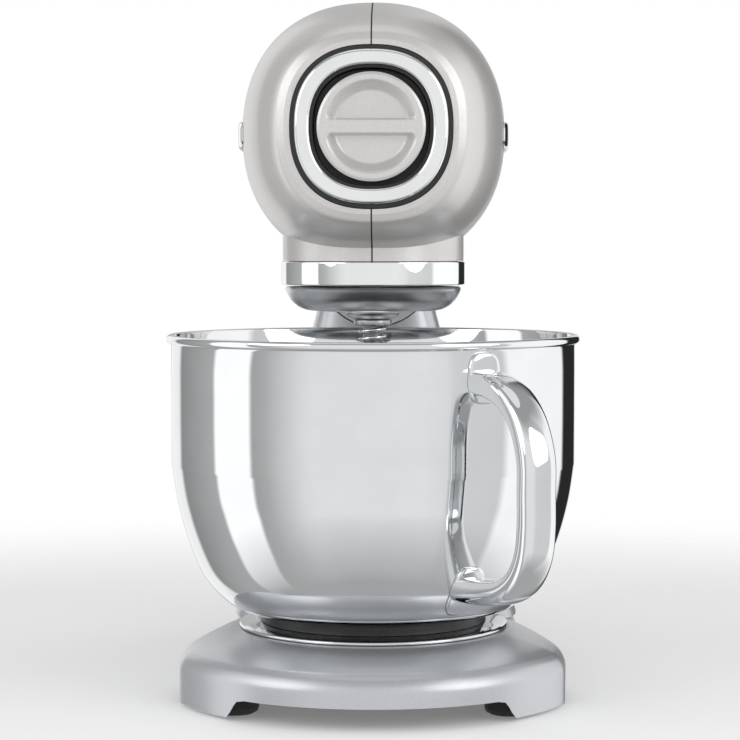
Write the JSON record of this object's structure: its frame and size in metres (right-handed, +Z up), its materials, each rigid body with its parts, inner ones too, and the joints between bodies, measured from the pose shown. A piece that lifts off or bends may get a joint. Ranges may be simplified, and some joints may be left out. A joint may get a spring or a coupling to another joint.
{
  "type": "stand mixer",
  "caption": "Tilt-head kitchen stand mixer with a steel bowl, planetary beater drive and a front attachment hub.",
  "frame": {"origin": "on the table under the middle of the whole mixer's box", "axes": "+Z up, -Y towards the front with the attachment hub, +X to the right seen from the front"},
  "size_m": [0.221, 0.4294, 0.3781],
  "materials": {
    "base_paint": "satin metallic",
    "head_paint": "satin metallic",
    "rubber": "matte",
    "black_plastic": "matte",
    "steel_dark": "machined",
    "satin_metal": "satin",
    "chrome": "polished",
    "polished_steel": "polished",
    "cast_metal": "as cast",
    "nylon": "moulded",
    "bronze": "machined",
    "copper": "wound",
    "board": "lacquered"
  },
  "bodies": {
    "stand": {"base_casting": "base_paint", "base_bottom_plate": "black_plastic", "foot_front_left": "rubber", "foot_front_right": "rubber", "foot_rear_left": "rubber", "foot_rear_right": "rubber", "bowl_lock_plate": "black_plastic", "lock_plate_screw_1": "steel_dark", "lock_plate_screw_2": "steel_dark", "lock_plate_screw_3": "steel_dark", "column_shell": "base_paint", "column_back_cover": "base_paint", "cord_inlet": "rubber", "hinge_pin": "steel_dark", "hinge_bush_left": "bronze", "hinge_bush_right": "bronze", "latch_spring": "steel_dark"},
    "latch": {"tilt_latch": "steel_dark"},
    "release_button": {"tilt_release_button": "chrome"},
    "head": {"head_shell_left": "head_paint", "head_shell_right": "head_paint", "neck_ring": "chrome", "side_trim_left": "chrome", "side_trim_right": "chrome", "hub_surround": "black_plastic", "hub_bezel": "chrome", "speed_slot_plate": "chrome", "vent_cover": "black_plastic", "control_board": "board", "gearbox_housing": "cast_metal", "ring_gear": "nylon", "main_bush": "bronze", "motor_stator": "steel_dark", "motor_front_bracket": "cast_metal", "motor_rear_bracket": "cast_metal", "brush_holder_left": "bronze", "brush_holder_right": "bronze"},
    "hub_cap": {"hub_cover": "head_paint"},
    "speed_control": {"speed_lever": "chrome"},
    "motor_rotor": {"motor_shaft": "steel_dark", "motor_armature": "copper", "motor_commutator": "bronze", "motor_fan": "black_plastic"},
    "lay_gears": {"layshaft": "steel_dark", "layshaft_wheel": "nylon"},
    "bevel_drive": {"bevel_shaft": "steel_dark", "bevel_shaft_wheel": "nylon", "drive_bevel_pinion": "steel_dark"},
    "carrier": {"main_shaft": "steel_dark", "crown_wheel": "steel_dark", "planet_carrier": "satin_metal"},
    "beater_drive": {"planet_pinion": "steel_dark", "beater_shaft": "steel_dark", "beater_drive_pin": "chrome", "beater_spring": "chrome"},
    "hub_drive": {"hub_shaft": "steel_dark", "hub_bevel_pinion": "steel_dark"},
    "bowl": {"bowl_shell": "polished_steel", "bowl_foot": "polished_steel", "bowl_handle": "polished_steel"}
  },
  "joints": [
    {"name": "head_tilt", "type": "hinge", "parent": "stand", "child": "head", "pos_m": [0, 0.09014, 0.212], "axis": [-1, 0, 0], "range_deg": [0, 50]},
    {"name": "latch_drop", "type": "slide", "parent": "stand", "child": "latch", "axis": [0, 0, -1], "range_m": [0, 0.0035], "deforming": ["latch_spring"]},
    {"name": "release_press", "type": "slide", "parent": "stand", "child": "release_button", "axis": [0, -1, 0], "range_m": [0, 0.0035], "stiffness_N_per_m": 600, "springref_m": -0.002},
    {"name": "speed_slide", "type": "slide", "parent": "head", "child": "speed_control", "axis": [0, 1, 0], "range_m": [0, 0.044]},
    {"name": "hub_cap_pull", "type": "slide", "parent": "head", "child": "hub_cap", "axis": [0, -1, 0], "range_m": [0, 0.04]},
    {"name": "motor_spin", "type": "hinge", "parent": "head", "child": "motor_rotor", "pos_m": [0, -0.07486, 0.3], "axis": [0, 1, 0], "continuous": true},
    {"name": "layshaft_spin", "type": "hinge", "parent": "head", "child": "lay_gears", "pos_m": [0.03, -0.07486, 0.3], "axis": [0, 1, 0], "continuous": true},
    {"name": "bevel_shaft_spin", "type": "hinge", "parent": "head", "child": "bevel_drive", "pos_m": [0, -0.07486, 0.3], "axis": [0, 1, 0], "continuous": true},
    {"name": "carrier_spin", "type": "hinge", "parent": "head", "child": "carrier", "pos_m": [0, -0.07486, 0.3], "axis": [0, 0, 1], "continuous": true},
    {"name": "beater_spin", "type": "hinge", "parent": "carrier", "child": "beater_drive", "pos_m": [0, -0.09736, 0.3], "axis": [0, 0, 1], "continuous": true},
    {"name": "hub_spin", "type": "hinge", "parent": "head", "child": "hub_drive", "pos_m": [0, -0.07486, 0.3], "axis": [0, 1, 0], "continuous": true},
    {"name": "bowl_twist", "type": "hinge", "parent": "stand", "child": "bowl", "pos_m": [0, -0.07486, 0.04], "axis": [0, 0, 1], "range_deg": [0, 35]}
  ],
  "couplings": [
    {"joint": "latch_drop", "follows": "release_press", "ratio": 1},
    {"joint": "layshaft_spin", "follows": "motor_spin", "ratio": -0.33333},
    {"joint": "bevel_shaft_spin", "follows": "motor_spin", "ratio": 0.11111},
    {"joint": "carrier_spin", "follows": "motor_spin", "ratio": 0.055556},
    {"joint": "beater_spin", "follows": "motor_spin", "ratio": -0.16667},
    {"joint": "hub_spin", "follows": "motor_spin", "ratio": -0.11111}
  ]
}
